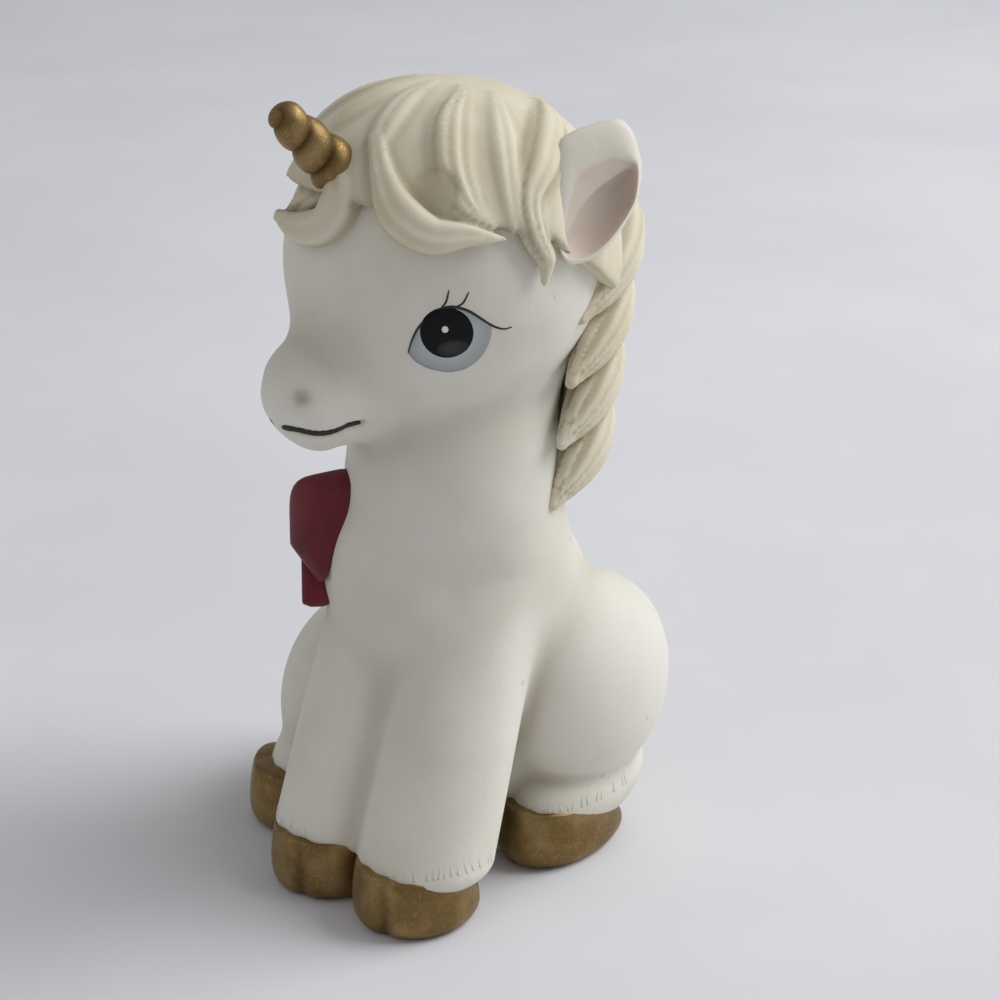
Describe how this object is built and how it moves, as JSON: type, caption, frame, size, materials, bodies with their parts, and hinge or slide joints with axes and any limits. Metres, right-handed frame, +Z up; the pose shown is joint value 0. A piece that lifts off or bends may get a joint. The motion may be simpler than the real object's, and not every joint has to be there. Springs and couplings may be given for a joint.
{
  "type": "unicorn figurine",
  "caption": "Seated bisque porcelain unicorn foal with its head turned, a wavy mane, a red ribbon bow, and a gilded twisted horn and hooves; a free-standing shelf ornament.",
  "frame": {"origin": "middle of the flat seat, on the surface that the figure stands on", "axes": "+Z up, the animal faces -Y and its left side is +X"},
  "size_m": [0.0556, 0.0585, 0.1044],
  "materials": {
    "bisque": "matte unglazed warm white",
    "tinted_bisque": "matte cream wash",
    "gilding": "fired gold lustre with fine sparkle",
    "red_enamel": "matte maroon paint"
  },
  "bodies": {
    "root": {"body_casting": "bisque", "head_casting": "bisque", "left_foreleg": "bisque", "right_foreleg": "bisque", "left_haunch": "bisque", "right_haunch": "bisque", "left_hind_foot": "bisque", "right_hind_foot": "bisque", "left_ear": "bisque", "right_ear": "bisque", "crown_hair": "tinted_bisque", "forelock": "tinted_bisque", "left_fringe_lock": "tinted_bisque", "right_fringe_lock": "tinted_bisque", "left_temple_lock": "tinted_bisque", "right_temple_lock": "tinted_bisque", "mane_lock_1": "tinted_bisque", "mane_lock_2": "tinted_bisque", "mane_lock_3": "tinted_bisque", "mane_lock_4": "tinted_bisque", "tail": "tinted_bisque", "horn": "gilding", "left_fore_hoof": "gilding", "right_fore_hoof": "gilding", "left_hind_hoof": "gilding", "right_hind_hoof": "gilding", "bow_left_loop": "red_enamel", "bow_right_loop": "red_enamel", "bow_knot": "red_enamel", "bow_tails": "red_enamel"}
  },
  "joints": []
}
